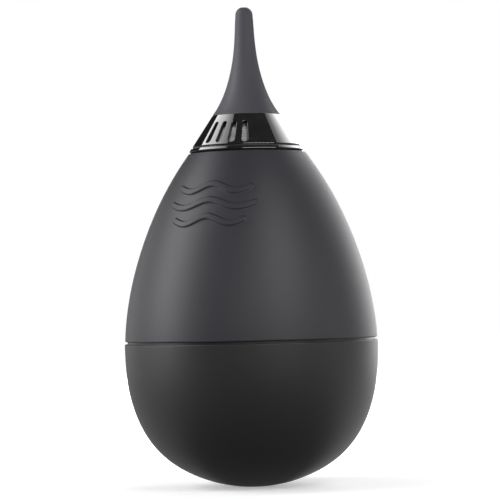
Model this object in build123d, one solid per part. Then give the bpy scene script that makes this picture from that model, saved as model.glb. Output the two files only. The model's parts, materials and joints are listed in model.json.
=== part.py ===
from build123d import *
import math
import os

# Hand dust blower, self-righting egg shape.  Millimetres, +Z up.
# Origin: centre of the small flat that the base rests on.  The front (moulded
# grip ribs and the first group of vent slots) faces -Y.
#
# Air path: squeezing the bulb lifts the outlet disc and air leaves by the
# nozzle.  Letting go drops the intake flap and air is drawn through the vent
# slots and the filter, so dust blown off a movement is never sucked back in.

# ---------------------------------------------------------------- dimensions
TOTAL_H = 132.3            # resting flat to nozzle tip
MAX_R = 35.0               # belly radius
REST_R = 4.5               # flat under the base
SEAM_Z0, SEAM_Z1 = 39.8, 40.4   # groove between base cup and bulb
CUP_WALL = 2.4
BULB_WALL = 2.6
MOUTH_TOP_Z = 91.95        # top of the bulb's lip
MOUTH_BOT_Z = 89.7         # underside of the lip
MOUTH_R = 12.3             # hole through the lip

CONE_Z0, CONE_Z1 = 93.63, 102.35  # gloss vent collar
CONE_SLOPE = 0.6667        # loss of radius per mm of height
CONE_REF_R, CONE_REF_Z = 14.85, 94.17
CONE_WALL = 1.35           # measured level
SLOT_COUNT = 4             # slots in each of two groups
SLOT_PITCH = 15.2          # degrees
SLOT_Z0, SLOT_Z1 = 94.5, 100.3
SLOT_W0, SLOT_W1 = 1.80, 1.30   # width at foot and head

TUBE_R, TUBE_BORE_R = 4.7, 2.9   # central air tube
TUBE_Z0, TUBE_Z1 = 84.5, 101.35
THREAD_PITCH = 2.0
PORT_COUNT, PORT_R, PORT_PCR = 8, 1.35, 8.7

SPIGOT_R, SPIGOT_BORE_R, SPIGOT_TOP_Z = 3.3, 1.9, 110.65
CHAMBER_R, CHAMBER_OUT_R = 3.9, 4.9
NOZZLE_BASE_Z, NOZZLE_BASE_R = 102.4, 9.32
NOZZLE_TIP_R, TIP_BORE_R, TIP_BORE_Z0 = 2.40, 0.8, 123.3
TIP_Z = TOTAL_H - 2.1      # start of the rounded tip

FLANGE_Z0 = 87.9           # underside of the inner flange
RING_TOP_Z = 93.3          # top of the screwed neck ring
NECK_GAP_R, GASKET_R = 15.6, 14.98   # floors of the two shadow gaps
FLAP_Z = FLANGE_Z0 - 0.65  # underside of the intake flap when shut
FIL_Z0, FIL_Z1 = 94.05, 100.7    # foot and head of the filter element
PLATE_Z = 101.05           # underside of the collar's top plate
CEIL_Z = 104.45            # ceiling of the outlet valve's chamber
DISC_Z = TUBE_Z1 + 0.05    # underside of the outlet disc when shut

FLAP_TRAVEL = 0.8
DISC_TRAVEL = 0.9

FLOOR_Z = 3.25             # inner floor of the cup
WEIGHT_Z1 = 13.0           # top of the ballast and of its bosses
BOSS_PCR, BOSS_R, BOSS_HOLE_R = 15.0, 2.6, 1.25
RIB_RISE, RIB_W, RIB_WAVE = 0.45, 1.5, 1.0     # moulded grip ribs
RIB_ROWS = ((81.8, 10.0), (77.4, 12.0), (73.0, 10.0))   # height, half width
RUN = 0.10                 # radial running clearance


def cone_r(z):
    return CONE_REF_R - (z - CONE_REF_Z) * CONE_SLOPE


# ---------------------------------------------------------------- helpers
def p3(rz):
    return (rz[0], 0.0, rz[1])


def poly(*pts):
    """Closed ring section from straight (r, z) corners, turned about Z."""
    return revolve(make_face(Polyline(*[p3(q) for q in pts], close=True)), Axis.Z)


def turned(edges):
    return revolve(make_face(edges), Axis.Z)


def line(a, b):
    return Line(p3(a), p3(b))


def curve(pts, t0=None, t1=None):
    if t0 is None:
        return Spline(*[p3(q) for q in pts])
    return Spline(*[p3(q) for q in pts], tangents=(p3(t0), p3(t1)))


def inset(pts, t):
    """(r, z) points moved t to the left of the way they run."""
    out = []
    for i, (r, z) in enumerate(pts):
        a = pts[max(i - 1, 0)]
        b = pts[min(i + 1, len(pts) - 1)]
        dr, dz = b[0] - a[0], b[1] - a[1]
        n = math.hypot(dr, dz)
        out.append((r - t * dz / n, z + t * dr / n))
    return out


def tube(r0, r1, z0, z1):
    return poly((r0, z0), (r1, z0), (r1, z1), (r0, z1))


def rod(x, y, r, z0, z1):
    return Pos(x, y, (z0 + z1) / 2) * Cylinder(r, z1 - z0)


def spread(count, radius, start=0.0, span=360.0):
    step = span / count
    return [
        (
            radius * math.cos(math.radians(start + i * step)),
            radius * math.sin(math.radians(start + i * step)),
            start + i * step,
        )
        for i in range(count)
    ]


# ---------------------------------------------------------------- profiles
CUP = [
    (REST_R, 0.0), (9.6, 0.91), (14.50, 2.50), (18.75, 4.45), (24.02, 8.0),
    (28.39, 12.8), (31.49, 18.4), (33.50, 24.4), (34.57, 30.5), (MAX_R - 0.07, 36.0),
    (MAX_R, SEAM_Z0),
]
BULB = [
    (MAX_R - 0.15, SEAM_Z1), (34.22, 47.6), (32.75, 55.6), (30.52, 63.6),
    (27.60, 71.6), (23.88, 79.6), (19.18, 87.6), (16.285, 91.763),
]
NOZZLE = [
    (NOZZLE_BASE_R, NOZZLE_BASE_Z + 0.12), (8.35, 103.9), (7.65, 105.1), (6.84, 106.6),
    (5.96, 108.6), (5.23, 110.6), (4.62, 112.6), (4.11, 114.6), (3.50, 117.6),
    (3.08, 120.6), (2.80, 123.6), (2.62, 126.6), (2.48, 129.0), (NOZZLE_TIP_R, TIP_Z),
]

# ---------------------------------------------------------------- base cup
# Hard lower shell.  A spherical underside with a small flat, three screw
# bosses for the ballast and a plain bore at the rim for the joint ring.
cup_out = curve(CUP, (1, 0.15), (0, 1))
cup_in_pts = [q for q in inset(CUP, CUP_WALL)[1:-1] if q[1] < 32.8]
cup_in_pts = [(7.5, FLOOR_Z)] + cup_in_pts[1:] + [(32.5, 33.4)]
cup_in = curve(cup_in_pts, (1, 0.20), (0, 1))
base_cup = turned([
    line((0, 0), CUP[0]), cup_out, line(CUP[-1], (32.5, SEAM_Z0)),
    line((32.5, SEAM_Z0), (32.5, 33.4)), cup_in,
    line(cup_in_pts[0], (0, FLOOR_Z)), line((0, FLOOR_Z), (0, 0)),
])
bosses = [rod(x, y, BOSS_R, 4.5, WEIGHT_Z1) for x, y, _ in spread(3, BOSS_PCR, 90)]
base_cup = base_cup + bosses
base_cup = base_cup - [
    rod(x, y, BOSS_HOLE_R, 6.0, 14.0) for x, y, _ in spread(3, BOSS_PCR, 90)
]

# ---------------------------------------------------------------- ballast
# It stands on the cup's inner floor, is clear of the curved wall, and its top is
# clamped by the cover.
w_pts = [(6.5, FLOOR_Z), (7.2, FLOOR_Z + 0.5)] + inset(CUP, CUP_WALL + 0.45)[2:5]
w_top_r = 23.5
counterweight = turned([
    line((0, FLOOR_Z), w_pts[0]), line(w_pts[0], w_pts[1]),
    curve(w_pts[1:] + [(w_top_r, WEIGHT_Z1 - 0.8)]),
    line((w_top_r, WEIGHT_Z1 - 0.8), (w_top_r - 0.7, WEIGHT_Z1)),
    line((w_top_r - 0.7, WEIGHT_Z1), (0, WEIGHT_Z1)), line((0, WEIGHT_Z1), (0, FLOOR_Z)),
])
counterweight = counterweight - [
    rod(x, y, BOSS_R + 0.35, 0.0, 20.0) for x, y, _ in spread(3, BOSS_PCR, 90)
]

# pressed cover that clamps the ballast down on its bosses, with a stiffening rim
cover_r = 24.6
weight_cover = poly((0, 13.0), (cover_r, 13.0), (cover_r, 16.0), (cover_r - 1.4, 16.0),
                    (cover_r - 1.4, 14.6), (0, 14.6))
weight_cover = weight_cover - [
    rod(x, y, 1.5, 12.0, 17.0) for x, y, _ in spread(3, BOSS_PCR, 90)
]


def pan_screw(x, y):
    body = poly((0, 7.0), (0.75, 7.0), (1.2, 7.9), (1.2, 14.62), (2.35, 14.62),
                (2.35, 15.3), (2.0, 15.9), (1.3, 16.2), (0, 16.25))
    cross = Pos(0, 0, 15.95) * (Box(2.5, 0.5, 1.1) + Box(0.5, 2.5, 1.1))
    return Pos(x, y, 0) * (body - cross)


weight_screws = Compound(children=[pan_screw(x, y) for x, y, _ in spread(3, BOSS_PCR, 90)])

# ---------------------------------------------------------------- joint ring
# Hard ring inside the belly: its skirt presses into the cup, its flange is the
# dark line of the seam and its barb holds the bulb's hem.
joint_ring = poly(
    (30.4, 33.8), (31.9, 33.8), (32.45, 34.4), (32.45, 36.3), (31.65, 36.3), (31.65, 37.5),
    (32.45, 37.5), (32.45, SEAM_Z0), (34.2, SEAM_Z0), (34.2, SEAM_Z1), (31.95, SEAM_Z1),
    (31.95, 43.9), (32.65, 44.1), (31.8, 46.0), (30.4, 46.0),
)
base_o_ring = revolve(
    Plane.XZ * (Pos(32.03, 36.9) * Circle(0.38)), Axis.Z
)

# ---------------------------------------------------------------- bulb
bulb_in = inset(BULB, BULB_WALL)
in_top = [q for q in bulb_in if q[1] < 88.0]
in_top = [(32.05, 47.6)] + [q for q in in_top if q[1] > 51.6] + [(15.25, 88.55)]
bulb_edges = [
    curve(BULB, (-0.026, 1), (-0.73, 1)),
    # rounded shoulder at the top
    ThreePointArc(p3(BULB[-1]), p3((16.125, 91.901)), p3((15.92, MOUTH_TOP_Z))),
    line((15.92, MOUTH_TOP_Z), (MOUTH_R, MOUTH_TOP_Z)),
    line((MOUTH_R, MOUTH_TOP_Z), (MOUTH_R, MOUTH_BOT_Z)),
    line((MOUTH_R, MOUTH_BOT_Z), (14.45, MOUTH_BOT_Z)),
    line((14.45, MOUTH_BOT_Z), in_top[-1]),
    curve(list(reversed(in_top))),
    line(in_top[0], (32.05, 46.2)),
    line((32.05, 46.2), (32.8, 45.6)),
    line((32.8, 45.6), (32.8, 43.8)),
    line((32.8, 43.8), (32.05, 43.6)),
    line((32.05, 43.6), (32.05, SEAM_Z1)),
    line((32.05, SEAM_Z1), BULB[0]),
]
bulb_body = turned(bulb_edges)

# moulded grip ribs: three shallow waves across the front
ribs = []
for z_mid, half_w in RIB_ROWS:
    pts = []
    n = 12
    for i in range(n + 1):
        x = -half_w + 2 * half_w * i / n
        pts.append((x, z_mid + RIB_WAVE * math.cos(x / half_w * math.pi * 1.5)))
    stroke = trace(Spline(*pts), RIB_W)
    solid = extrude(Plane((0, 0, 0), x_dir=(1, 0, 0), z_dir=(0, -1, 0)) * stroke, 45.0)
    ribs.append(solid)
skin_out = [(r + RIB_RISE * 0.87, z + RIB_RISE * 0.45) for r, z in BULB[3:7]]
skin_in = [(r - 0.9, z - 0.4) for r, z in BULB[3:7]]
shell_band = turned([
    curve(skin_out), line(skin_out[-1], skin_in[-1]),
    curve(list(reversed(skin_in))), line(skin_in[0], skin_out[0]),
])
rib_solids = [shell_band & r for r in ribs]
upper_bulb = bulb_body
for r in rib_solids:
    upper_bulb = upper_bulb + r

# ---------------------------------------------------------------- neck
# Inner flange, inside the mouth, with the central air tube and intake ports.
neck_flange = poly(
    (TUBE_BORE_R, TUBE_Z0), (TUBE_R, TUBE_Z0), (TUBE_R, FLANGE_Z0), (14.0, FLANGE_Z0), (14.0, MOUTH_BOT_Z),
    (12.2, MOUTH_BOT_Z), (12.2, 93.1), (11.0, 93.1), (11.0, MOUTH_BOT_Z), (5.9, MOUTH_BOT_Z),
    (TUBE_R, MOUTH_BOT_Z + 1.0), (TUBE_R, TUBE_Z1 - 1.6), (3.85, TUBE_Z1 - 1.6), (3.85, TUBE_Z1 - 0.7),
    (TUBE_R, TUBE_Z1 - 0.7), (TUBE_R, TUBE_Z1 - 0.4), (4.3, TUBE_Z1), (TUBE_BORE_R, TUBE_Z1),
)
neck_flange = neck_flange - [
    rod(x, y, PORT_R, FLANGE_Z0 - 1.0, MOUTH_BOT_Z + 1.0) for x, y, _ in spread(PORT_COUNT, PORT_PCR, 22.5)
]

# gloss ring that screws down over the flange and pinches the lip
neck_ring = poly(
    (12.25, MOUTH_TOP_Z), (NECK_GAP_R, MOUTH_TOP_Z), (NECK_GAP_R, 92.3), (15.85, 92.3),
    (16.02, 92.5), (cone_r(RING_TOP_Z) + 0.05, RING_TOP_Z), (12.25, RING_TOP_Z),
)
filter_gasket = tube(12.4, GASKET_R, RING_TOP_Z, CONE_Z0)
outlet_o_ring = revolve(Plane.XZ * (Pos(4.28, TUBE_Z1 - 1.15) * Circle(0.40)), Axis.Z)

# ---------------------------------------------------------------- intake valve
intake_flap = poly(
    (TUBE_R + RUN, FLAP_Z), (11.9, FLAP_Z), (12.0, FLAP_Z + 0.25), (11.9, FLAP_Z + 0.6),
    (TUBE_R + RUN, FLAP_Z + 0.6),
)
stop_z = FLAP_Z - FLAP_TRAVEL - 0.02
flap_retainer = tube(TUBE_R, 6.0, TUBE_Z0 + 0.3, stop_z) + tube(9.7, 10.8, stop_z - 0.9, stop_z)
flap_retainer = flap_retainer + [
    Rot(0, 0, a) * (Pos(7.85, 0, stop_z - 0.45) * Box(4.1, 1.1, 0.9))
    for _, _, a in spread(6, 1.0)
]

# ---------------------------------------------------------------- filter
FIL_GAP = 0.10
fo0 = (cone_r(FIL_Z0) - CONE_WALL - FIL_GAP, FIL_Z0)
fo1 = (cone_r(FIL_Z1) - CONE_WALL - FIL_GAP, FIL_Z1)
fi0, fi1 = (fo0[0] - 1.4, FIL_Z0), (fo1[0] - 1.1, FIL_Z1)
filter_element = poly(fo0, fo1, fi1, fi0)
filter_frame = poly(
    (9.6, 93.15), (12.15, 93.15), (12.15, 93.25), (12.3, 93.35), (12.3, 93.68), (13.2, 94.0),
    (fi0[0] - 0.05, 94.0), (fi1[0] - 0.05, FIL_Z1), (fi1[0] - 0.9, FIL_Z1),
    (fi0[0] - 0.95, 94.0), (9.6, 93.9),
)
mid_r = (fi0[0] + fi1[0]) / 2
windows = [
    Rot(0, 0, a) * (Pos(mid_r, 0, 97.35) * Box(8.0, 2.6, 4.5))
    for _, _, a in spread(8, 1.0, 22.5)
]
filter_frame = filter_frame - windows

# ---------------------------------------------------------------- collar
HUB_R = 6.0
collar = poly(
    (cone_r(CONE_Z0), CONE_Z0), (cone_r(CONE_Z1), CONE_Z1), (CHAMBER_OUT_R, CONE_Z1),
    (CHAMBER_OUT_R, CEIL_Z + 0.3), (CHAMBER_OUT_R - 0.35, CEIL_Z + 0.7), (SPIGOT_R, CEIL_Z + 0.7),
    (SPIGOT_R, SPIGOT_TOP_Z - 0.6), (SPIGOT_R - 0.6, SPIGOT_TOP_Z), (SPIGOT_BORE_R, SPIGOT_TOP_Z),
    (SPIGOT_BORE_R, CEIL_Z), (CHAMBER_R, CEIL_Z), (CHAMBER_R, TUBE_Z1 + 0.05),
    (TUBE_R + RUN, TUBE_Z1 + 0.05), (TUBE_R + RUN, 96.2), (HUB_R, 96.2), (HUB_R, PLATE_Z),
    (cone_r(PLATE_Z) - CONE_WALL, PLATE_Z), (cone_r(CONE_Z0) - CONE_WALL, CONE_Z0),
)


def slot_cutter(angle):
    """Round-ended slot, wider at its foot, cut square to the cone's face."""
    lean = math.degrees(math.atan(CONE_SLOPE))
    zc = (SLOT_Z0 + SLOT_Z1) / 2
    half = (SLOT_Z1 - SLOT_Z0) / 2 / math.cos(math.radians(lean))
    r0, r1 = SLOT_W0 / 2, SLOT_W1 / 2
    y0, y1 = -half + r0, half - r1
    pts = [(-r0, y0), (r0, y0), (r1, y1), (-r1, y1)]
    face = (
        make_face(Polyline(*pts, close=True))
        + Pos(0, y0) * Circle(r0)
        + Pos(0, y1) * Circle(r1)
    )
    face_plane = Plane(
        origin=(0, -cone_r(zc) - 2.0, zc),
        x_dir=(1, 0, 0),
        z_dir=(0, -math.cos(math.radians(lean)), math.sin(math.radians(lean))),
    )
    cutter = extrude(face_plane * face, amount=-5.0)
    return Rot(0, 0, angle) * cutter


slots = []
for group in (0.0, 180.0):
    for i in range(SLOT_COUNT):
        slots.append(slot_cutter(group + (i - (SLOT_COUNT - 1) / 2) * SLOT_PITCH))
vent_collar = collar
for s in slots:
    vent_collar = vent_collar - s

# ---------------------------------------------------------------- outlet valve
outlet_disc = poly(
    (0, DISC_Z - 0.55), (0.9, DISC_Z - 0.55), (1.3, DISC_Z), (3.5, DISC_Z), (3.6, DISC_Z + 0.15),
    (3.5, DISC_Z + 0.75), (0.8, DISC_Z + 0.75), (0.5, DISC_Z + 0.9), (0, DISC_Z + 0.9),
)
# The disc's boss stops on the cage's hub.  The cage's ring is higher up, so that
# air still turns in over the lifted disc's rim.
cage_z = DISC_Z + 0.9 + DISC_TRAVEL + 0.05
valve_cage = tube(3.25, CHAMBER_R, CEIL_Z - 0.45, CEIL_Z) + rod(0, 0, 0.95, cage_z, CEIL_Z)
valve_cage = valve_cage + [
    Rot(0, 0, a) * (Pos(2.1, 0, (cage_z + CEIL_Z) / 2) * Box(2.6, 0.8, CEIL_Z - cage_z))
    for _, _, a in spread(3, 1.0)
]

# ---------------------------------------------------------------- nozzle
noz_out = curve(NOZZLE, (-0.70, 1), (-0.03, 1))
# rounded tip: part of an ellipse that meets the bore's edge at the full height
rim_a = math.acos((TIP_BORE_R + 0.05) / NOZZLE_TIP_R)
tip_b = (TOTAL_H - TIP_Z) / math.sin(rim_a)
tip_pts = [
    (NOZZLE_TIP_R * math.cos(rim_a * i / 5), TIP_Z + tip_b * math.sin(rim_a * i / 5))
    for i in range(6)
]
tip_end = tip_pts[-1]
nozzle = turned([
    line((CHAMBER_OUT_R + 0.05, NOZZLE_BASE_Z), (NOZZLE_BASE_R - 0.1, NOZZLE_BASE_Z)),
    line((NOZZLE_BASE_R - 0.1, NOZZLE_BASE_Z), NOZZLE[0]),
    noz_out,
    curve(tip_pts, (-0.03, 1), (-NOZZLE_TIP_R * math.sin(rim_a), tip_b * math.cos(rim_a))),
    line(tip_end, (TIP_BORE_R, tip_end[1] - 0.1)),
    line((TIP_BORE_R, tip_end[1] - 0.1), (TIP_BORE_R, TIP_BORE_Z0)),
    line((TIP_BORE_R, TIP_BORE_Z0), (SPIGOT_BORE_R, SPIGOT_TOP_Z + 1.5)),
    line((SPIGOT_BORE_R, SPIGOT_TOP_Z + 1.5), (SPIGOT_BORE_R, SPIGOT_TOP_Z + 0.1)),
    line((SPIGOT_BORE_R, SPIGOT_TOP_Z + 0.1), (SPIGOT_R + 0.05, SPIGOT_TOP_Z + 0.1)),
    line((SPIGOT_R + 0.05, SPIGOT_TOP_Z + 0.1), (SPIGOT_R + 0.05, CEIL_Z + 0.8)),
    line((SPIGOT_R + 0.05, CEIL_Z + 0.8), (CHAMBER_OUT_R + 0.05, CEIL_Z + 0.8)),
    line((CHAMBER_OUT_R + 0.05, CEIL_Z + 0.8), (CHAMBER_OUT_R + 0.05, NOZZLE_BASE_Z)),
])

# ---------------------------------------------------------------- export
NODES = {
    "base_cup": base_cup,
    "counterweight": counterweight,
    "weight_cover": weight_cover,
    "weight_screws": weight_screws,
    "joint_ring": joint_ring,
    "base_o_ring": base_o_ring,
    "upper_bulb": upper_bulb,
    "neck_flange": neck_flange,
    "neck_ring": neck_ring,
    "filter_gasket": filter_gasket,
    "outlet_o_ring": outlet_o_ring,
    "intake_flap": intake_flap,
    "flap_retainer": flap_retainer,
    "filter_element": filter_element,
    "filter_frame": filter_frame,
    "vent_collar": vent_collar,
    "outlet_disc": outlet_disc,
    "valve_cage": valve_cage,
    "nozzle": nozzle,
}

os.makedirs("parts", exist_ok=True)
for name, shape in NODES.items():
    solids = shape.solids()
    want = 3 if name == "weight_screws" else 1
    if len(solids) != want:
        print("WARNING", name, "has", len(solids), "solids")
    export_step(shape if want > 1 else solids[0], f"parts/{name}.step")
    print(name, len(solids), round(sum(s.volume for s in solids), 1))
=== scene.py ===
import json
import math

import bmesh
import bpy
import numpy as np
from mathutils import Matrix, Vector

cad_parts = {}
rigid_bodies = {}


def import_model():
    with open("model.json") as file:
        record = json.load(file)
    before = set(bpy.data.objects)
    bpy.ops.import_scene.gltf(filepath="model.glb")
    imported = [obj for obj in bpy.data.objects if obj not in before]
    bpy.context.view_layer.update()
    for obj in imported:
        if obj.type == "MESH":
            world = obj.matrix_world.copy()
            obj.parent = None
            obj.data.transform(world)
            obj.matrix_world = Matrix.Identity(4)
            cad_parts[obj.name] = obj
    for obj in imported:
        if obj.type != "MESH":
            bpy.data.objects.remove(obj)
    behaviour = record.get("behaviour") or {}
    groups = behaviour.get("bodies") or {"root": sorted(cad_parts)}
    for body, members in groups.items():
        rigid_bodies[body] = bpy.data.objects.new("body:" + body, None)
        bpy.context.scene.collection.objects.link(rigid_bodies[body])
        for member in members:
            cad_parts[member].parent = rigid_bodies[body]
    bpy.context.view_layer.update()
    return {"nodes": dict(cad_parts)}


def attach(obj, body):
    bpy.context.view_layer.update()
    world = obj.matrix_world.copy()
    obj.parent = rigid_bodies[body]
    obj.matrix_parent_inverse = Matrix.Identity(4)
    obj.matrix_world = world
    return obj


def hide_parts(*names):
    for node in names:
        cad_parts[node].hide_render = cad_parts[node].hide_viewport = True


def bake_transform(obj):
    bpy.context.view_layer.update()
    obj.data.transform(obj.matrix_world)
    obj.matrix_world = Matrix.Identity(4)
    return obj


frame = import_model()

MM = 0.001


# ------------------------------------------------------------------ curves
def spline(points, step, t0=None, t1=None):
    """A smooth curve through (r, z) points, as points about `step` apart.
    Chord-length cubic, with the end directions t0 and t1 where given."""
    p = np.array(points, float)
    h = np.hypot(*np.diff(p, axis=0).T)
    s = np.concatenate([[0], np.cumsum(h)])
    n = len(p)
    a = np.zeros((n, n))
    b = np.zeros((n, 2))
    for i in range(1, n - 1):
        a[i, i - 1], a[i, i], a[i, i + 1] = 1 / h[i - 1], 2 / h[i - 1] + 2 / h[i], 1 / h[i]
        b[i] = 3 * (p[i] - p[i - 1]) / h[i - 1] ** 2 + 3 * (p[i + 1] - p[i]) / h[i] ** 2
    if t0 is None:
        a[0, 0], a[0, 1] = 2, 1
        b[0] = 3 * (p[1] - p[0]) / h[0]
    else:
        a[0, 0] = 1
        b[0] = np.array(t0, float) / np.hypot(*t0)
    if t1 is None:
        a[-1, -1], a[-1, -2] = 2, 1
        b[-1] = 3 * (p[-1] - p[-2]) / h[-1]
    else:
        a[-1, -1] = 1
        b[-1] = np.array(t1, float) / np.hypot(*t1)
    m = np.linalg.solve(a, b)
    count = max(int(round(s[-1] / step)), 2)
    out = []
    for v in np.linspace(0, s[-1], count + 1):
        i = min(np.searchsorted(s, v, side="right") - 1, n - 2)
        t = (v - s[i]) / h[i]
        out.append(
            (2 * t**3 - 3 * t**2 + 1) * p[i]
            + (t**3 - 2 * t**2 + t) * h[i] * m[i]
            + (3 * t**2 - 2 * t**3) * p[i + 1]
            + (t**3 - t**2) * h[i] * m[i + 1]
        )
    return [tuple(q) for q in out]


def rounded(corners, radii, n=5, hold=0.25, close=True):
    """A (r, z) outline with each corner turned into a small arc, with a holding
    point on both sides of it so that flat faces stay flat when shaded smooth."""
    out = []
    k = len(corners)
    for i, c in enumerate(corners):
        c = np.array(c, float)
        rad = radii[i] if hasattr(radii, "__len__") else radii
        if not close and i in (0, k - 1) or rad <= 0:
            out.append(tuple(c))
            continue
        a = np.array(corners[i - 1], float) - c
        b = np.array(corners[(i + 1) % k], float) - c
        la, lb = np.hypot(*a), np.hypot(*b)
        a, b = a / la, b / lb
        half = math.acos(max(-1, min(1, float(a @ b)))) / 2
        cut = min(rad / math.tan(half), 0.45 * la, 0.45 * lb)
        rad = cut * math.tan(half)
        centre = c + (a + b) / np.hypot(*(a + b)) * (rad / math.sin(half))
        p0, p1 = c + a * cut, c + b * cut
        ext = min(hold * rad + 0.02, 0.2 * la, 0.2 * lb)
        out.append(tuple(p0 + a * ext))
        v0, v1 = p0 - centre, p1 - centre
        a0 = math.atan2(v0[1], v0[0])
        da = (math.atan2(v1[1], v1[0]) - a0 + math.pi) % (2 * math.pi) - math.pi
        for j in range(n + 1):
            t = a0 + da * j / n
            out.append((centre[0] + rad * math.cos(t), centre[1] + rad * math.sin(t)))
        out.append(tuple(p1 + b * ext))
    return out


def thin(points, step):
    """Adds points on long straight runs so that none is longer than step."""
    out = []
    for i, p in enumerate(points):
        q = points[(i + 1) % len(points)]
        d = math.hypot(q[0] - p[0], q[1] - p[1])
        m = max(int(math.ceil(d / step)), 1)
        for j in range(m):
            out.append((p[0] + (q[0] - p[0]) * j / m, p[1] + (q[1] - p[1]) * j / m))
    return out


def inset(points, t):
    p = np.array(points, float)
    d = np.gradient(p, axis=0)
    d /= np.hypot(d[:, 0], d[:, 1])[:, None]
    return [(r - t * dz, z + t * dr) for (r, z), (dr, dz) in zip(p, d)]


def mesh_object(name, verts, faces, smooth=True):
    me = bpy.data.meshes.new(name)
    me.from_pydata([tuple(float(c) for c in v) for v in verts], [], faces)
    me.validate()
    me.update()
    if smooth:
        me.polygons.foreach_set("use_smooth", [True] * len(me.polygons))
    ob = bpy.data.objects.new(name, me)
    bpy.context.scene.collection.objects.link(ob)
    return ob


def lathe(name, loop, angles=None, count=192, shift=None):
    """Turns a closed (r, z) outline, in mm, about Z.  Angles are in degrees from
    the front, -Y, and positive towards +X.  shift(angle, i, r, z) may move a point.
    An outline point on the axis becomes one pole vertex."""
    if angles is None:
        angles = [360.0 * i / count for i in range(count)]
    k, n = len(loop), len(angles)
    verts, ring = [], []
    for i, (r, z) in enumerate(loop):
        if r < 1e-6:
            ring.append([len(verts)] * n)
            verts.append((0, 0, z * MM))
            continue
        row = []
        for a in angles:
            t = math.radians(a)
            x, y, zz = r * math.sin(t), -r * math.cos(t), z
            if shift is not None:
                x, y, zz = shift(a, i, x, y, zz)
            row.append(len(verts))
            verts.append((x * MM, y * MM, zz * MM))
        ring.append(row)
    faces = []
    for i in range(k):
        u, v = ring[i], ring[(i + 1) % k]
        if u[0] == u[-1] and v[0] == v[-1]:
            continue
        for j in range(n):
            q = (u[j], u[(j + 1) % n], v[(j + 1) % n], v[j])
            q = tuple(dict.fromkeys(q))
            if len(q) >= 3:
                faces.append(q)
    return mesh_object(name, verts, faces)


# ------------------------------------------------------------------ profiles
SEAM_Z0, SEAM_Z1 = 39.8, 40.4
CUP = [
    (4.5, 0.0), (9.6, 0.91), (14.50, 2.50), (18.75, 4.45), (24.02, 8.0),
    (28.39, 12.8), (31.49, 18.4), (33.50, 24.4), (34.57, 30.5), (34.93, 36.0), (35.0, SEAM_Z0),
]
BULB = [
    (34.85, SEAM_Z1), (34.22, 47.6), (32.75, 55.6), (30.52, 63.6),
    (27.60, 71.6), (23.88, 79.6), (19.18, 87.6), (16.285, 91.763),
]
NOZZLE = [
    (9.32, 102.52), (8.35, 103.9), (7.65, 105.1), (6.84, 106.6), (5.96, 108.6),
    (5.23, 110.6), (4.62, 112.6), (4.11, 114.6), (3.50, 117.6), (3.08, 120.6),
    (2.80, 123.6), (2.62, 126.6), (2.48, 129.0), (2.40, 130.2),
]


def cone_r(z):
    return 14.85 - (z - 94.17) * 0.6667


# ------------------------------------------------------------------ materials
def new_material(name):
    m = bpy.data.materials.new(name)
    m.use_nodes = True
    nt = m.node_tree
    b = nt.nodes.get("Principled BSDF")
    return m, nt, b


def noise_node(nt, coord, scale, detail=4.0, rough=0.55, stretch=None):
    n = nt.nodes.new("ShaderNodeTexNoise")
    n.inputs["Scale"].default_value = scale
    n.inputs["Detail"].default_value = detail
    n.inputs["Roughness"].default_value = rough
    if stretch is not None:
        mp = nt.nodes.new("ShaderNodeMapping")
        mp.inputs["Scale"].default_value = stretch
        nt.links.new(coord, mp.inputs["Vector"])
        coord = mp.outputs["Vector"]
    nt.links.new(coord, n.inputs["Vector"])
    return n


def ramp(nt, fac, stops):
    r = nt.nodes.new("ShaderNodeValToRGB")
    els = r.color_ramp.elements
    els[0].position, els[0].color = stops[0][0], (*stops[0][1], 1)
    els[1].position, els[1].color = stops[-1][0], (*stops[-1][1], 1)
    for pos, col in stops[1:-1]:
        e = els.new(pos)
        e.color = (*col, 1)
    nt.links.new(fac, r.inputs["Fac"])
    return r


def map_range(nt, value, lo, hi, a=0.3, b=0.7):
    m = nt.nodes.new("ShaderNodeMapRange")
    m.inputs["From Min"].default_value = a
    m.inputs["From Max"].default_value = b
    m.inputs["To Min"].default_value = lo
    m.inputs["To Max"].default_value = hi
    nt.links.new(value, m.inputs["Value"])
    return m.outputs["Result"]


def bumps(nt, layers):
    """Chained bump nodes: layers is [(height socket, distance in metres, strength)]."""
    normal = None
    for height, distance, strength in layers:
        b = nt.nodes.new("ShaderNodeBump")
        b.inputs["Distance"].default_value = distance
        b.inputs["Strength"].default_value = strength
        nt.links.new(height, b.inputs["Height"])
        if normal is not None:
            nt.links.new(normal, b.inputs["Normal"])
        normal = b.outputs["Normal"]
    return normal


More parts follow.
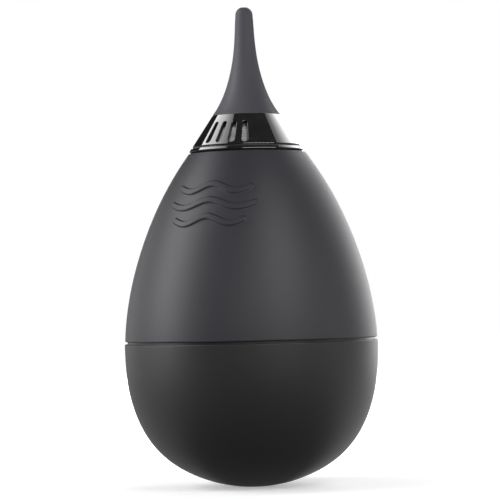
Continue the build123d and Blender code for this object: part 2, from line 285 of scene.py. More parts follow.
def soft_touch(name, dark, light, rough, ior_level, sheen, grain, sheen_tint=(1, 1, 1)):
    """Moulded silicone or soft-touch paint: spark-eroded mould grain, a slight
    cloudiness in colour and gloss, and a powdery sheen."""
    m, nt, b = new_material(name)
    co = nt.nodes.new("ShaderNodeTexCoord").outputs["Object"]
    cloud = noise_node(nt, co, 55.0, 3.0, 0.5)
    fine = noise_node(nt, co, grain, 2.0, 0.6)
    pores = nt.nodes.new("ShaderNodeTexVoronoi")
    pores.feature = "SMOOTH_F1"
    pores.inputs["Scale"].default_value = grain * 0.55
    nt.links.new(co, pores.inputs["Vector"])
    handled = noise_node(nt, co, 14.0, 2.0, 0.5)
    col = ramp(nt, cloud.outputs["Fac"], [(0.3, dark), (0.7, light)])
    nt.links.new(col.outputs["Color"], b.inputs["Base Color"])
    mix = nt.nodes.new("ShaderNodeMath")
    mix.operation = "ADD"
    nt.links.new(map_range(nt, handled.outputs["Fac"], rough - 0.03, rough + 0.03), mix.inputs[0])
    nt.links.new(map_range(nt, fine.outputs["Fac"], -0.04, 0.04), mix.inputs[1])
    nt.links.new(mix.outputs[0], b.inputs["Roughness"])
    b.inputs["Specular IOR Level"].default_value = ior_level
    b.inputs["Sheen Weight"].default_value = sheen
    b.inputs["Sheen Roughness"].default_value = 0.45
    b.inputs["Sheen Tint"].default_value = (*sheen_tint, 1)
    n = bumps(nt, [
        (fine.outputs["Fac"], 0.00004, 0.30),
        (pores.outputs["Distance"], 0.00003, 0.18),
        (handled.outputs["Fac"], 0.0003, 0.05),
    ])
    nt.links.new(n, b.inputs["Normal"])
    return m


def gloss_plastic(name, base, rough=0.045):
    """Polished black ABS: faint moulding flow, hairline polish marks and a trace of
    haze, under a hard clear reflection."""
    m, nt, b = new_material(name)
    co = nt.nodes.new("ShaderNodeTexCoord").outputs["Object"]
    flow = noise_node(nt, co, 120.0, 2.0, 0.5)
    hair = noise_node(nt, co, 900.0, 3.0, 0.7, stretch=(1.0, 1.0, 9.0))
    haze = noise_node(nt, co, 260.0, 4.0, 0.6)
    col = ramp(nt, haze.outputs["Fac"], [(0.3, base), (0.75, tuple(c * 1.5 + 0.001 for c in base))])
    nt.links.new(col.outputs["Color"], b.inputs["Base Color"])
    nt.links.new(map_range(nt, haze.outputs["Fac"], rough * 0.7, rough * 1.5), b.inputs["Roughness"])
    b.inputs["Specular IOR Level"].default_value = 0.5
    n = bumps(nt, [
        (flow.outputs["Fac"], 0.0002, 0.02),
        (hair.outputs["Fac"], 0.00001, 0.05),
    ])
    nt.links.new(n, b.inputs["Normal"])
    return m


def plain_plastic(name, base, rough=0.42):
    """Inner moulding: fine tool texture and a slightly mottled gloss."""
    m, nt, b = new_material(name)
    co = nt.nodes.new("ShaderNodeTexCoord").outputs["Object"]
    a = noise_node(nt, co, 1800.0, 3.0, 0.6)
    c = noise_node(nt, co, 150.0, 3.0, 0.5)
    col = ramp(nt, c.outputs["Fac"], [(0.3, base), (0.7, tuple(x * 1.35 + 0.002 for x in base))])
    nt.links.new(col.outputs["Color"], b.inputs["Base Color"])
    nt.links.new(map_range(nt, a.outputs["Fac"], rough - 0.08, rough + 0.1), b.inputs["Roughness"])
    n = bumps(nt, [(a.outputs["Fac"], 0.00003, 0.3)])
    nt.links.new(n, b.inputs["Normal"])
    return m


def felt(name):
    """Nonwoven polyester filter: tangled fibres, thin and thick spots."""
    m, nt, b = new_material(name)
    co = nt.nodes.new("ShaderNodeTexCoord").outputs["Object"]
    f1 = noise_node(nt, co, 2600.0, 5.0, 0.75, stretch=(1.0, 0.3, 1.0))
    f2 = noise_node(nt, co, 2600.0, 5.0, 0.75, stretch=(0.35, 1.0, 0.8))
    spots = noise_node(nt, co, 700.0, 3.0, 0.6)
    mul = nt.nodes.new("ShaderNodeMath")
    mul.operation = "MAXIMUM"
    nt.links.new(f1.outputs["Fac"], mul.inputs[0])
    nt.links.new(f2.outputs["Fac"], mul.inputs[1])
    c1 = ramp(nt, mul.outputs[0], [(0.42, (0.34, 0.34, 0.34)), (0.56, (0.62, 0.62, 0.61)), (0.68, (0.82, 0.82, 0.81))])
    mx = nt.nodes.new("ShaderNodeMix")
    mx.data_type = "RGBA"
    mx.blend_type = "MULTIPLY"
    mx.inputs["Factor"].default_value = 0.5
    c2 = ramp(nt, spots.outputs["Fac"], [(0.35, (0.55, 0.55, 0.55)), (0.65, (1, 1, 1))])
    nt.links.new(c1.outputs["Color"], mx.inputs["A"])
    nt.links.new(c2.outputs["Color"], mx.inputs["B"])
    nt.links.new(mx.outputs["Result"], b.inputs["Base Color"])
    b.inputs["Roughness"].default_value = 0.95
    b.inputs["Specular IOR Level"].default_value = 0.2
    b.inputs["Sheen Weight"].default_value = 0.3
    n = bumps(nt, [(mul.outputs[0], 0.00012, 0.7), (spots.outputs["Fac"], 0.0002, 0.4)])
    nt.links.new(n, b.inputs["Normal"])
    return m


def cast_metal(name):
    """Sand-cast ballast: dull skin, pitting and faint rust in random patches."""
    m, nt, b = new_material(name)
    co = nt.nodes.new("ShaderNodeTexCoord").outputs["Object"]
    a = noise_node(nt, co, 420.0, 6.0, 0.65)
    c = noise_node(nt, co, 90.0, 4.0, 0.6)
    col = ramp(nt, c.outputs["Fac"], [(0.3, (0.16, 0.155, 0.15)), (0.55, (0.24, 0.24, 0.24)), (0.75, (0.27, 0.22, 0.18))])
    nt.links.new(col.outputs["Color"], b.inputs["Base Color"])
    b.inputs["Metallic"].default_value = 0.85
    nt.links.new(map_range(nt, a.outputs["Fac"], 0.45, 0.75), b.inputs["Roughness"])
    n = bumps(nt, [(a.outputs["Fac"], 0.0002, 0.5)])
    nt.links.new(n, b.inputs["Normal"])
    return m


def zinc(name):
    """Zinc-plated steel: bright, with faint turning marks."""
    m, nt, b = new_material(name)
    co = nt.nodes.new("ShaderNodeTexCoord").outputs["Object"]
    a = noise_node(nt, co, 1500.0, 3.0, 0.6, stretch=(1.0, 1.0, 6.0))
    c = noise_node(nt, co, 400.0, 3.0, 0.5)
    col = ramp(nt, c.outputs["Fac"], [(0.3, (0.52, 0.53, 0.55)), (0.7, (0.64, 0.64, 0.62))])
    nt.links.new(col.outputs["Color"], b.inputs["Base Color"])
    b.inputs["Metallic"].default_value = 1.0
    nt.links.new(map_range(nt, a.outputs["Fac"], 0.22, 0.38), b.inputs["Roughness"])
    n = bumps(nt, [(a.outputs["Fac"], 0.00003, 0.3)])
    nt.links.new(n, b.inputs["Normal"])
    return m


def clear_silicone(name):
    """Milky silicone for the valve pieces."""
    m, nt, b = new_material(name)
    co = nt.nodes.new("ShaderNodeTexCoord").outputs["Object"]
    a = noise_node(nt, co, 300.0, 3.0, 0.5)
    col = ramp(nt, a.outputs["Fac"], [(0.3, (0.60, 0.60, 0.57)), (0.7, (0.74, 0.74, 0.71))])
    nt.links.new(col.outputs["Color"], b.inputs["Base Color"])
    nt.links.new(map_range(nt, a.outputs["Fac"], 0.3, 0.5), b.inputs["Roughness"])
    b.inputs["Subsurface Weight"].default_value = 0.25
    b.inputs["Subsurface Radius"].default_value = (0.001, 0.001, 0.0008)
    b.inputs["Subsurface Scale"].default_value = 1.0
    n = bumps(nt, [(a.outputs["Fac"], 0.00005, 0.2)])
    nt.links.new(n, b.inputs["Normal"])
    return m


M_BULB = soft_touch("bulb_silicone_mat", (0.0240, 0.0230, 0.0298), (0.0260, 0.0250, 0.0322), 0.53, 0.56, 0.0, 5200.0, (0.95, 0.96, 1.0))
M_NOZZLE = soft_touch("nozzle_silicone_mat", (0.0755, 0.0745, 0.0838), (0.0800, 0.0790, 0.0888), 0.55, 0.18, 0.0, 5200.0, (0.95, 0.96, 1.0))
M_CUP = soft_touch("cup_soft_touch_mat", (0.0095, 0.0095, 0.0096), (0.0110, 0.0110, 0.0111), 0.51, 0.60, 0.0, 6400.0)
M_GLOSS = gloss_plastic("gloss_trim_mat", (0.0035, 0.0035, 0.0037))
M_INNER = plain_plastic("inner_plastic_mat", (0.012, 0.012, 0.0125))
M_RUBBER = soft_touch("seal_rubber_mat", (0.010, 0.010, 0.010), (0.014, 0.014, 0.014), 0.5, 0.5, 0.0, 3000.0)
M_FELT = felt("filter_felt_mat")
M_IRON = cast_metal("ballast_iron_mat")
M_ZINC = zinc("screw_steel_mat")
M_VALVE = clear_silicone("valve_silicone_mat")


def paint(ob, mat):
    ob.data.materials.clear()
    ob.data.materials.append(mat)


# ------------------------------------------------------------------ bulb
RIB_RISE, RIB_W, RIB_WAVE = 0.45, 1.5, 1.0
RIB_ROWS = ((81.8, 10.0), (77.4, 12.0), (73.0, 10.0))
RIB_LINES = []
for z_mid, half_w in RIB_ROWS:
    xs = np.linspace(-half_w, half_w, 241)
    RIB_LINES.append(np.stack([xs, z_mid + RIB_WAVE * np.cos(xs / half_w * math.pi * 1.5)], 1))
RIB_ALL = np.concatenate(RIB_LINES)


def rib_height(x, z):
    """Height in mm of the moulded ribs at a point of the front, as seen from it."""
    d = math.sqrt(float(np.min((RIB_ALL[:, 0] - x) ** 2 + (RIB_ALL[:, 1] - z) ** 2)))
    e = 0.16
    t = max(0.0, min(1.0, (RIB_W / 2 + e - d) / (2 * e)))
    return RIB_RISE * t * t * (3 - 2 * t)


def bulb():
    fine = spline(BULB, 0.05, (-0.026, 1), (-0.73, 1))
    outer = []
    last = -9.0
    run = 0.0
    for i, q in enumerate(fine):
        if i:
            run += math.hypot(q[0] - fine[i - 1][0], q[1] - fine[i - 1][1])
        step = 0.15 if 70.0 < q[1] < 85.0 else 0.9
        if run - last >= step or i == len(fine) - 1:
            outer.append(q)
            last = run
    # small radius at the hem, and the rounded shoulder at the lip
    hem = rounded([(32.05, SEAM_Z1 + 3.0), (32.05, SEAM_Z1), (34.87, SEAM_Z1), (34.66, 43.6)], [0, 0.2, 0.36, 0], close=False)
    hem = [q for q in hem if q[1] < 42.4]
    outer = [q for q in outer if q[1] > hem[-1][1] + 0.3]
    c, rad = (15.92, 91.5), 0.45
    arc = [(c[0] + rad * math.sin(math.radians(t)), c[1] - rad * math.cos(math.radians(t))) for t in np.linspace(126.0, 180.0, 9)]
    outer = [q for q in outer if q[1] < arc[0][1] - 0.05]
    lip = [(15.2, 91.95), (12.55, 91.95), (12.36, 91.89), (12.3, 91.75), (12.3, 89.8), (12.42, 89.7), (14.45, 89.7)]
    inner = inset([q for q in spline(BULB, 1.5, (-0.026, 1), (-0.73, 1)) if 50 < q[1] < 90.0], 2.6)
    inner = [q for q in inner if q[1] < 88.2][::-1]
    tail = [(32.05, 47.6), (32.05, 46.2), (32.8, 45.6), (32.8, 43.8), (32.05, 43.6)]
    loop = hem[1:] + outer + arc + lip + inner + tail
    p = np.array(outer)
    d = np.gradient(p, axis=0)
    d /= np.hypot(d[:, 0], d[:, 1])[:, None]
    start = len(hem) - 1
    normals = {start + i: (d[i][1], -d[i][0]) for i in range(len(outer))}
    angles = list(np.arange(-38.0, 38.01, 0.35))
    rest = 360.0 - 76.0
    k = int(round(rest / 1.8))
    angles += [38.0 + rest * i / k for i in range(1, k)]
    if angles[-1] > 322.0 - 0.5:
        angles = [a for a in angles if a < 322.0 - 0.5]

    def shift(a, i, x, y, z):
        if i in normals and -38 < a < 38 and 69.5 < z < 85.5:
            h = rib_height(x, z)
            if h > 0:
                nr, nz = normals[i]
                t = math.radians(a)
                return x + h * nr * math.sin(t), y - h * nr * math.cos(t), z + h * nz
        return x, y, z

    ob = lathe("bulb_skin", loop, angles, shift=shift)
    paint(ob, M_BULB)
    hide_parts("upper_bulb")
    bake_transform(ob)
    return ob


# ------------------------------------------------------------------ cup
def cup():
    outer = spline(CUP, 0.8, (1, 0.15), (0, 1))
    outer = [q for q in outer if q[1] < SEAM_Z0 - 0.9]
    foot = [(0.0, 0.0), (1.5, 0.0), (3.2, 0.0), (4.1, 0.0), (4.5, 0.015), (4.9, 0.065), (5.3, 0.125)]
    outer = [q for q in outer if q[0] > 5.8]
    rim = rounded([(34.99, SEAM_Z0 - 1.6), (35.0, SEAM_Z0), (32.5, SEAM_Z0), (32.5, SEAM_Z0 - 2.0)], [0, 0.30, 0.25, 0], close=False)
    rim = rim[1:-1]
    inner = [(32.5, 37.8), (32.5, 33.4)]
    inner += [q for q in inset(spline(CUP, 1.6, (1, 0.15), (0, 1)), 2.4) if q[0] > 8.5 and q[1] < 31.5][::-1]
    inner += [(7.5, 3.25), (0.0, 3.25)]
    ob = lathe("cup_shell", foot + outer + rim + inner, count=240)
    # the three screw bosses stand inside, on the shell's floor
    paint(ob, M_CUP)
    parts = [ob]
    for i in range(3):
        a = math.radians(90 + 120 * i)
        prof = rounded([(1.25, 6.0), (2.6, 4.6), (2.6, 13.0), (1.25, 13.0)], [0.0, 0.0, 0.2, 0.15])
        b = lathe(f"cup_boss_{i}", prof, count=40)
        b.data.transform(Matrix.Translation((15 * MM * math.cos(a), 15 * MM * math.sin(a), 0)))
        paint(b, M_CUP)
        parts.append(b)
    for b in parts[1:]:
        b.parent = ob
    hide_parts("base_cup")
    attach(ob, "base")
    return ob


# ------------------------------------------------------------------ nozzle
def nozzle():
    outer = spline(NOZZLE, 0.35, (-0.70, 1), (-0.03, 1))
    foot = rounded([(6.0, 102.37), (9.0, 102.37), (9.385, 102.385), (8.35, 103.9)], [0, 0.2, 0.04, 0], n=4, close=False)[1:-1]
    outer = [q for q in outer if q[1] > foot[-1][1] + 0.12 and q[1] < 130.1]
    # rounded tip: part of an ellipse that turns over into the bore's edge
    rim = math.degrees(math.acos(0.98 / 2.40))
    high = 2.1 / math.sin(math.radians(rim))
    arc = [(2.40 * math.cos(math.radians(t)), 130.2 + high * math.sin(math.radians(t))) for t in np.linspace(0, rim, 16)]
    mouth = [(0.90, 132.28), (0.83, 132.2), (0.8, 132.05), (0.8, 131.0), (0.8, 127.5), (0.8, 123.3),
             (1.9, 112.15), (1.9, 110.75), (3.35, 110.75), (3.35, 108.0), (3.35, 105.25), (4.95, 105.25), (4.95, 103.8), (4.95, 102.4)]
    ob = lathe("nozzle_skin", foot + outer + arc + mouth, count=160)
    paint(ob, M_NOZZLE)
    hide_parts("nozzle")
    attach(ob, "nozzle_body")
    return ob


# ------------------------------------------------------------------ neck ring
def neck_ring():
    c, rad = (15.66, 92.56), 0.26
    low = rounded([(12.25, 92.6), (12.25, 91.95), (15.6, 91.95), (15.6, 92.3), (15.66, 92.3)], [0, 0.08, 0.05, 0.05, 0], close=False)
    arc = [(c[0] + rad * math.cos(math.radians(t)), c[1] + rad * math.sin(math.radians(t))) for t in np.linspace(-90.0, 33.7, 13)]
    hold = (arc[-1][0] - 0.055 * 0.5547, arc[-1][1] + 0.055 * 0.8321)
    high = rounded([hold, (cone_r(93.3) + 0.05, 93.3), (12.25, 93.3), (12.25, 92.6)], [0, 0.12, 0.08, 0], close=False)
    ob = lathe("neck_ring_gloss", low[1:-1] + arc + [hold] + high[1:-1], count=240)
    paint(ob, M_GLOSS)
    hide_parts("neck_ring")
    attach(ob, "head")
    return ob


# ------------------------------------------------------------------ vent collar
def collar():
    """The slotted cone as one quad shell.  Each slot has its own cell of the cone's
    face, with rings that run from the cell's outline to the slot's, over a small
    radius and down the slot's wall to the cone's inner face."""
    z0, z1 = 93.63, 102.35
    slope = 0.6667
    length = (z1 - z0) * math.sqrt(1 + slope**2)
    nr, nz = 1 / math.sqrt(1 + slope**2), slope / math.sqrt(1 + slope**2)

    def at(angle, s, depth=0.0):
        """Point on the cone: angle from the front, s along its face from the foot."""
        z = z0 + s / math.sqrt(1 + slope**2)
        r = cone_r(z) - depth * nr
        z = z - depth * nz
        t = math.radians(angle)
        return (r * math.sin(t), -r * math.cos(t), z)

    verts, faces, index = [], [], {}

    def v(p):
        key = (round(p[0], 4), round(p[1], 4), round(p[2], 4))
        if key not in index:
            index[key] = len(verts)
            verts.append((p[0] * MM, p[1] * MM, p[2] * MM))
        return index[key]

    s_lo, s_hi = 0.56, length - 0.25
    pitch, n_side, n_edge = 15.2, 26, 12
    half = pitch / 2
    side_s = [s_lo + (s_hi - s_lo) * i / n_side for i in range(n_side + 1)]
    wall = 1.35 * nr
    ms = ((94.5 + 100.3) / 2 - z0) * math.sqrt(1 + slope**2)
    hl = (100.3 - 94.5) / 2 * math.sqrt(1 + slope**2)
    w0, w1 = 1.80 / 2, 1.30 / 2
    y0, y1 = ms - hl + w0, ms + hl - w1

    def cell(centre):
        # outline of the cell, counter-clockwise from the low left corner
        box = [(-half + pitch * i / n_edge, s_lo) for i in range(n_edge)]
        box += [(half, side_s[i]) for i in range(n_side)]
        box += [(half - pitch * i / n_edge, s_hi) for i in range(n_edge)]
        box += [(-half, side_s[n_side - i]) for i in range(n_side)]
        # outline of the slot in flat mm, as many points and starting alike
        def slot_point(kind, t):
            if kind == 0:      # foot, left to right
                a = math.pi + math.pi * t
                return (w0 * math.cos(a), y0 + w0 * math.sin(a))
            if kind == 1:      # right side going up
                return (w0 + (w1 - w0) * t, y0 + (y1 - y0) * t)
            if kind == 2:      # head, right to left
                a = math.pi * t
                return (w1 * math.cos(a), y1 + w1 * math.sin(a))
            return (-w1 + (w1 - w0) * t, y1 + (y0 - y1) * t)

        outline = [slot_point(0, i / n_edge) for i in range(n_edge)]
        outline += [slot_point(1, i / n_side) for i in range(n_side)]
        outline += [slot_point(2, i / n_edge) for i in range(n_edge)]
        outline += [slot_point(3, i / n_side) for i in range(n_side)]

        def grown(g):
            out = []
            m = len(outline)
            for i, (x, y) in enumerate(outline):
                a, b = outline[i - 1], outline[(i + 1) % m]
                dx, dy = b[0] - a[0], b[1] - a[1]
                n = math.hypot(dx, dy)
                out.append((x + g * dy / n, y - g * dx / n))
            return out

        def ring(points, depth):
            row = []
            for x, s in points:
                z = z0 + s / math.sqrt(1 + slope**2)
                row.append(v(at(centre + math.degrees(x / cone_r(z)), s, depth)))
            return row

        edge = 0.16
        rows = [[v(at(centre + a, s)) for a, s in box]]
        flat = [(math.radians(a) * cone_r(z0 + s / math.sqrt(1 + slope**2)), s) for a, s in box]
        near = grown(edge + 0.10)
        for t in (0.35, 0.65, 0.87):
            rows.append(ring([(p[0] + (q[0] - p[0]) * t, p[1] + (q[1] - p[1]) * t) for p, q in zip(flat, near)], 0.0))
        rows.append(ring(near, 0.0))
        for k in range(7):
            a = math.pi / 2 * k / 6
            rows.append(ring(grown(edge * (1 - math.sin(a))), edge * (1 - math.cos(a))))
        rows.append(ring(outline, edge + 0.06))
        rows.append(ring(outline, wall - 0.12))
        rows.append(ring(outline, wall))
        m = len(box)
        for u, w in zip(rows, rows[1:]):
            for i in range(m):
                faces.append((u[i], u[(i + 1) % m], w[(i + 1) % m], w[i]))
        # the ring on the inner face is joined to the inner cone's own cell
        inner = [v(at(centre + a, s, wall)) for a, s in box]
        w = rows[-1]
        for i in range(m):
            faces.append((w[i], w[(i + 1) % m], inner[(i + 1) % m], inner[i]))

    centres = [g + (i - 1.5) * pitch for g in (0.0, 180.0) for i in range(4)]
    for c in centres:
        cell(c)
    # plain stretches between the two groups, outside and inside
    columns = []
    for g in (0.0, 180.0):
        a0, a1 = g + 2 * pitch, g + 180.0 - 2 * pitch
        k = 60
        cols = [a0 + (a1 - a0) * i / k for i in range(k + 1)]
        columns += cols[:-1]
        for i in range(k):
            for j in range(n_side):
                for depth, flip in ((0.0, False), (wall, True)):
                    q = [v(at(cols[i], side_s[j], depth)), v(at(cols[i + 1], side_s[j], depth)),
                         v(at(cols[i + 1], side_s[j + 1], depth)), v(at(cols[i], side_s[j + 1], depth))]
                    faces.append(tuple(q[::-1] if flip else q))
    # every column angle round the top and foot
    for c in centres:
        columns += [c - half + pitch * i / n_edge for i in range(n_edge)]
    columns = sorted(a % 360.0 for a in columns)
    m = len(columns)

    def belt(rows):
        for (fa, fb) in zip(rows, rows[1:]):
            for i in range(m):
                a, b = columns[i], columns[(i + 1) % m]
                faces.append((v(fa(a)), v(fb(a)), v(fb(b)), v(fa(b))))

    def turned(r, z):
        return lambda a: (r * math.sin(math.radians(a)), -r * math.cos(math.radians(a)), z)

    # foot: small radius from the cone's face to the underside
    rnd = rounded([(cone_r(z0 + 1.2), z0 + 1.2), (cone_r(z0), z0), (cone_r(z0) - 1.1, z0)], [0, 0.24, 0], n=9, close=False)[2:-1]
    low = [lambda a: at(a, s_lo)] + [turned(r, z) for r, z in rnd] + [turned(cone_r(z0) - 1.1, z0)]
    low += [turned(cone_r(z0) - 1.32, z0 + 0.03), lambda a: at(a, s_lo, wall)]
    belt(low)
    # head: radius at the shoulder, then the flat top, chamber, spigot, bore, hub
    top = rounded([(cone_r(z1 - 0.45), z1 - 0.45), (cone_r(z1), z1), (7.0, z1)], [0, 0.07, 0], n=6, close=False)[1:-1]
    chain = top + [(7.0, z1)]
    chain += rounded([(7.0, z1), (4.9, z1), (4.9, 105.15), (3.3, 105.15), (3.3, 110.65), (1.9, 110.65), (1.9, 104.45), (3.9, 104.45),
                      (3.9, 101.4), (4.8, 101.4), (4.8, 96.2), (6.0, 96.2), (6.0, 101.05), (cone_r(101.05) - 1.35, 101.05), (11.0, 98.0)],
                     [0, 0.1, 0.35, 0.1, 0.5, 0.15, 0.1, 0.1, 0.1, 0.1, 0.1, 0.1, 0.15, 0.1, 0], n=3, close=False)[1:-1]
    belt([lambda a: at(a, s_hi)] + [turned(r, z) for r, z in chain if z <= 120] + [lambda a: at(a, s_hi - 0.9, wall) if False else at(a, s_hi, wall)])
    ob = mesh_object("collar_shell", verts, faces)
    # every face looks out of the solid, whichever way its strip was laid
    bm = bmesh.new()
    bm.from_mesh(ob.data)
    bmesh.ops.recalc_face_normals(bm, faces=bm.faces)
    bm.to_mesh(ob.data)
    bm.free()
    # the face is a true cone, so its shading normals are the cone's own
    normals = []
    for vert in ob.data.vertices:
        x, y, z = (c / MM for c in vert.co)
        r = math.hypot(x, y)
        on_face = abs(r - cone_r(z)) < 0.0005 and z0 + 0.05 < z < z1 - 0.05
        normals.append((nr * x / r, nr * y / r, nz) if on_face else (0.0, 0.0, 0.0))
    ob.data.normals_split_custom_set_from_vertices(normals)
    paint(ob, M_GLOSS)
    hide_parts("vent_collar")
    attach(ob, "collar")
    return ob


# ------------------------------------------------------------------ filter
def filter_cone():
    """Nonwoven band behind the slots, with a lumpy, fibrous face."""
    rng = np.random.default_rng(7)
    phases = rng.uniform(0, 2 * math.pi, (26, 2))
    waves = rng.integers(8, 90, 26)
    vz = rng.uniform(1.0, 9.0, 26)

    def lump(a, z):
        t = math.radians(a)
        return sum(math.sin(waves[k] * t + phases[k][0]) * math.sin(vz[k] * z + phases[k][1]) for k in range(26)) * 0.009

    lo, hi = (cone_r(94.05) - 1.45, 94.05), (cone_r(100.7) - 1.45, 100.7)
    face = [(lo[0] + (hi[0] - lo[0]) * i / 60, lo[1] + (hi[1] - lo[1]) * i / 60) for i in range(61)]
    back = [(hi[0] - 1.1, hi[1]), ((lo[0] + hi[0]) / 2 - 1.25, (lo[1] + hi[1]) / 2), (lo[0] - 1.4, lo[1])]
    loop = face + back

    def shift(a, i, x, y, z):
        if i <= 60:
            r = math.hypot(x, y)
            k = (r - 0.05 + min(lump(a, z), 0.05)) / r
            return x * k, y * k, z
        return x, y, z

    ob = lathe("filter_felt_band", loop, count=480, shift=shift)
    paint(ob, M_FELT)
    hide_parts("filter_element")
    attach(ob, "filter_carrier")
    return ob


bulb()
cup()
nozzle()
neck_ring()
collar()
filter_cone()

for node, mat in {
    "counterweight": M_IRON, "weight_cover": M_INNER, "weight_screws": M_ZINC, "joint_ring": M_INNER,
    "base_o_ring": M_RUBBER, "neck_flange": M_INNER, "filter_gasket": M_RUBBER, "outlet_o_ring": M_RUBBER,
    "intake_flap": M_VALVE, "flap_retainer": M_INNER, "filter_frame": M_INNER, "outlet_disc": M_VALVE,
    "valve_cage": M_INNER,
}.items():
    paint(frame["nodes"][node], mat)

# ------------------------------------------------------------------ stage
def disc(name, radius, z, rings=24, seg=96):
    verts, faces = [(0, 0, z)], []
    for i in range(1, rings + 1):
        r = radius * (i / rings) ** 1.5
        for j in range(seg):
            a = 2 * math.pi * j / seg
            verts.append((r * math.cos(a), r * math.sin(a), z))
    for j in range(seg):
        faces.append((0, 1 + j, 1 + (j + 1) % seg))
    for i in range(rings - 1):
        for j in range(seg):
            a = 1 + i * seg + j
            b = 1 + i * seg + (j + 1) % seg
            faces.append((a, a + seg, b + seg, b))
    return mesh_object(name, verts, faces)


floor = disc("studio_floor", 2.4, -0.00005)
fm, fnt, fb = new_material("studio_floor_mat")
fco = fnt.nodes.new("ShaderNodeTexCoord").outputs["Object"]
fno = noise_node(fnt, fco, 60.0, 4.0, 0.5)
fcol = ramp(fnt, fno.outputs["Fac"], [(0.3, (0.80, 0.80, 0.80)), (0.7, (0.82, 0.82, 0.82))])
fnt.links.new(fcol.outputs["Color"], fb.inputs["Base Color"])
fb.inputs["Roughness"].default_value = 0.9
fb.inputs["Specular IOR Level"].default_value = 0.1
# lit paper near the object with a weak painted glow, which leaves painted shade round the object; further out the
# painted glow rises and blows the paper out to the backdrop's white a little way off
away = fnt.nodes.new("ShaderNodeVectorMath")
away.operation = "LENGTH"
fnt.links.new(fco, away.inputs[0])
glow = fnt.nodes.new("ShaderNodeMapRange")
glow.interpolation_type = "SMOOTHSTEP"
for key, val in {"From Min": 0.02, "From Max": 0.16, "To Min": 0.35, "To Max": 1.0}.items():
    glow.inputs[key].default_value = val
fnt.links.new(away.outputs["Value"], glow.inputs["Value"])
fb.inputs["Emission Color"].default_value = (1, 1, 1, 1)
fnt.links.new(glow.outputs["Result"], fb.inputs["Emission Strength"])


# Painted bounce light: for the object the floor glows, weak in front and more from the two sides, standing in for the
# light that the softboxes throw back off the paper.
def bounce(az, lo, hi, strength, label):
    a = math.radians(CAM_AZ + az)
    turn = fnt.nodes.new("ShaderNodeVectorMath")
    turn.operation = "NORMALIZE"
    fnt.links.new(fco, turn.inputs[0])
    dot = fnt.nodes.new("ShaderNodeVectorMath")
    dot.operation = "DOT_PRODUCT"
    dot.inputs[1].default_value = (math.sin(a), -math.cos(a), 0)
    fnt.links.new(turn.outputs["Vector"], dot.inputs[0])
    lobe = fnt.nodes.new("ShaderNodeMapRange")
    lobe.interpolation_type = "SMOOTHSTEP"
    lobe.name = label
    lobe.inputs["From Min"].default_value = lo
    lobe.inputs["From Max"].default_value = hi
    lobe.inputs["To Max"].default_value = strength
    fnt.links.new(dot.outputs["Value"], lobe.inputs["Value"])
    return lobe.outputs["Result"]


CAM_AZ = 25.0          # degrees towards +X from the front
under = fnt.nodes.new("ShaderNodeEmission")
level = fnt.nodes.new("ShaderNodeValue")
level.name = "bounce_even"
level.outputs[0].default_value = 0.206
total = level.outputs[0]
for args in ((-110, 0.45, 0.85, 0.38, "bounce_left"), (125, 0.40, 0.85, 0.70, "bounce_right")):
    add = fnt.nodes.new("ShaderNodeMath")
    fnt.links.new(total, add.inputs[0])
    fnt.links.new(bounce(*args), add.inputs[1])
    total = add.outputs[0]
# painted shade: less of the painted bounce light close in, where the object stands in its own shade
shade = fnt.nodes.new("ShaderNodeMapRange")
shade.interpolation_type = "SMOOTHSTEP"
for key, val in {"From Min": 0.01, "From Max": 0.07, "To Min": 0.85, "To Max": 1.0}.items():
    shade.inputs[key].default_value = val
fnt.links.new(away.outputs["Value"], shade.inputs["Value"])
shaded = fnt.nodes.new("ShaderNodeMath")
shaded.operation = "MULTIPLY"
fnt.links.new(total, shaded.inputs[0])
fnt.links.new(shade.outputs["Result"], shaded.inputs[1])
fnt.links.new(shaded.outputs[0], under.inputs["Strength"])
# the camera sees the lit paper and its painted glow; all other rays see only the painted bounce light
flp = fnt.nodes.new("ShaderNodeLightPath")
fmix = fnt.nodes.new("ShaderNodeMixShader")
fnt.links.new(flp.outputs["Is Camera Ray"], fmix.inputs["Fac"])
fnt.links.new(under.outputs["Emission"], fmix.inputs[1])
fnt.links.new(fb.outputs["BSDF"], fmix.inputs[2])
fnt.links.new(fmix.outputs["Shader"], fnt.nodes["Material Output"].inputs["Surface"])
paint(floor, fm)

world = bpy.data.worlds.new("studio")
bpy.context.scene.world = world
world.use_nodes = True
wnt = world.node_tree
bg = wnt.nodes["Background"]
bg.inputs["Color"].default_value = (1, 1, 1, 1)
bg.inputs["Strength"].default_value = 0.03
lp = wnt.nodes.new("ShaderNodeLightPath")
sky = wnt.nodes.new("ShaderNodeBackground")
sky.inputs["Color"].default_value = (1, 1, 1, 1)
sky.inputs["Strength"].default_value = 1.0
mixw = wnt.nodes.new("ShaderNodeMixShader")
wnt.links.new(lp.outputs["Is Camera Ray"], mixw.inputs["Fac"])
wnt.links.new(bg.outputs["Background"], mixw.inputs[1])
wnt.links.new(sky.outputs["Background"], mixw.inputs[2])
wnt.links.new(mixw.outputs["Shader"], wnt.nodes["World Output"].inputs["Surface"])


def aside(az, el):
    a, e = math.radians(CAM_AZ + az), math.radians(el)
    return Vector((math.sin(a) * math.cos(e), -math.cos(a) * math.cos(e), math.sin(e)))


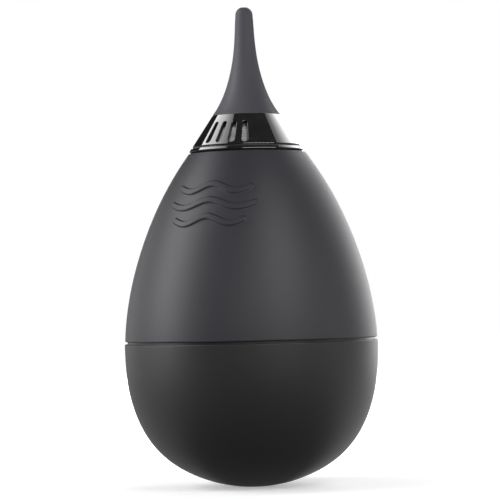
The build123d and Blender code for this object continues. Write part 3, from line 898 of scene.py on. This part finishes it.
def softbox(name, az, el, width, height, radiance, receivers, dist=1.0, lean=None, fade=None):
    """A rectangular softbox aimed at the object.  az is measured from the camera's
    side of the object, positive to the camera's right.  lean is the direction of
    its long side.  fade dims it along that side: (start, end, least share)."""
    lamp = bpy.data.lights.new(name, "AREA")
    lamp.shape = "RECTANGLE"
    lamp.size, lamp.size_y = width, height
    lamp.energy = radiance * math.pi * width * height
    ob = bpy.data.objects.new(name, lamp)
    bpy.context.scene.collection.objects.link(ob)
    aim = Vector((0, 0, 0.07))
    back = aside(az, el)
    x = Vector((0, 0, 1)).cross(back) if lean is None else Vector(lean) - back * Vector(lean).dot(back)
    x.normalize()
    y = back.cross(x)
    p = aim + dist * back
    ob.matrix_world = Matrix(((x.x, y.x, back.x, p.x), (x.y, y.y, back.y, p.y), (x.z, y.z, back.z, p.z), (0, 0, 0, 1)))
    ob.light_linking.receiver_collection = receivers
    if fade is not None:
        lamp.use_nodes = True
        nt = lamp.node_tree
        em = nt.nodes["Emission"]
        uv = nt.nodes.new("ShaderNodeNewGeometry").outputs["Parametric"]
        sep = nt.nodes.new("ShaderNodeSeparateXYZ")
        nt.links.new(uv, sep.inputs[0])
        mr = nt.nodes.new("ShaderNodeMapRange")
        mr.inputs["From Min"].default_value, mr.inputs["From Max"].default_value = fade[0], fade[1]
        mr.inputs["To Min"].default_value, mr.inputs["To Max"].default_value = fade[2], 1.0
        nt.links.new(sep.outputs["X"], mr.inputs["Value"])
        nt.links.new(mr.outputs["Result"], em.inputs["Strength"])
    return ob


def receivers(name, state, pieces=("collar_shell", "neck_ring_gloss")):
    """Light-linking set.  The two polished pieces get cards of their own."""
    c = bpy.data.collections.new(name)
    for n in pieces:
        c.objects.link(bpy.data.objects[n])
    for item in c.collection_objects:
        item.light_linking.link_state = state
    return c


MATT = receivers("lit_by_softboxes", "EXCLUDE", ("collar_shell", "neck_ring_gloss", "filter_felt_band"))
BODY = receivers("lit_from_behind", "EXCLUDE", ("collar_shell", "neck_ring_gloss", "filter_felt_band", "nozzle_skin"))
GLOSS = receivers("lit_by_cards", "INCLUDE")
FELT = receivers("lit_through_slots", "INCLUDE", ("filter_felt_band",))
TIP = receivers("lit_at_the_tip", "INCLUDE", ("nozzle_skin",))

softbox("wall_left_high", -92, 37, 0.60, 0.42, 6.0, MATT)
softbox("wall_left_mid", -84, 12, 0.52, 0.42, 6.4, MATT)
softbox("rear_left", -135, 6, 0.70, 0.40, 1.2, MATT)
softbox("strip_right_high", 36, 37, 0.50, 0.42, 5.2, BODY)
softbox("strip_right_mid", 31, 12, 0.62, 0.42, 2.40, MATT)
softbox("rear_right_high", 147, 36, 0.70, 0.40, 3.25, MATT)
softbox("rear_right_mid", 147, 8, 0.75, 0.45, 4.6, BODY)
softbox("rear_centre", -178, 8, 0.40, 0.45, 2.6, MATT)
softbox("front_fill", -4, 18, 0.70, 0.40, 2.0, MATT, dist=1.2)
softbox("side_right", 80, 12, 0.50, 0.50, 1.45, MATT)
softbox("tip_left", -84, 24, 0.55, 0.60, 2.6, TIP)
softbox("tip_right", 32, 9, 0.50, 0.40, 5.4, TIP)
softbox("slot_light", 30, 72, 0.40, 0.30, 15.0, FELT)


def mirrored(phi):
    """Where the collar's cone, seen at the angle phi from the camera, looks."""
    a = math.radians(CAM_AZ + phi)
    n = Vector((math.sin(a), -math.cos(a), 0.6667)).normalized()
    v = aside(0, 0)
    return 2 * n.dot(v) * n - v


def card(name, phi0, phi1, height, radiance, fade=None, bulge=0.0):
    """A card that the polished cone mirrors between two angles.  bulge moves it
    from the chord towards what the cone mirrors halfway."""
    p0, p1 = mirrored(phi0), mirrored(phi1)
    mid = ((p0 + p1).normalized() * (1 - bulge) + mirrored((phi0 + phi1) / 2) * bulge).normalized()
    el = math.degrees(math.asin(mid.z))
    az = math.degrees(math.atan2(mid.x, -mid.y)) - CAM_AZ
    # the chord between the two ends, stretched out to the card's distance
    width = (p1 - p0).length / ((p0 + p1).length / 2)
    return softbox(name, az, el, width, height, radiance, GLOSS, lean=(p1 - p0), fade=fade)


card("card_left", -55.5, -22.0, 0.5, 7.8, fade=(1.0, 0.55, 0.35))
card("card_right", 35.0, 88.0, 0.6, 9.0, fade=(0.07, 0.40, 0.20))
card("card_top", -17.5, 31.0, 1.0, 0.05, bulge=0.5)
softbox("card_low", 27, 27, 1.27, 0.65, 11.5, GLOSS)

# ------------------------------------------------------------------ camera
cam_data = bpy.data.cameras.new("photo_camera")
cam_data.sensor_fit = "HORIZONTAL"
cam_data.sensor_width = 36.0
cam_data.lens = 186.3
cam_data.clip_start = 0.05
cam_data.clip_end = 20.0
cam = bpy.data.objects.new("photo_camera", cam_data)
bpy.context.scene.collection.objects.link(cam)
az, pitch, roll = math.radians(CAM_AZ), math.radians(1.0), math.radians(-1.306)
yaw = az - math.radians(0.0165)
heading = Vector((-math.sin(yaw), math.cos(yaw), 0))
fwd = heading * math.cos(pitch) + Vector((0, 0, 1)) * math.sin(pitch)
right = Vector((math.cos(yaw), math.sin(yaw), 0))
up = right.cross(fwd)
r2 = right * math.cos(roll) + up * math.sin(roll)
u2 = -right * math.sin(roll) + up * math.cos(roll)
pos = Vector((0.716 * math.sin(az), -0.716 * math.cos(az), 0.052615))
cam.matrix_world = Matrix((
    (r2.x, u2.x, -fwd.x, pos.x),
    (r2.y, u2.y, -fwd.y, pos.y),
    (r2.z, u2.z, -fwd.z, pos.z),
    (0, 0, 0, 1),
))
bpy.context.scene.camera = cam
bpy.context.scene.view_settings.view_transform = "Standard"
bpy.context.scene.view_settings.look = "None"
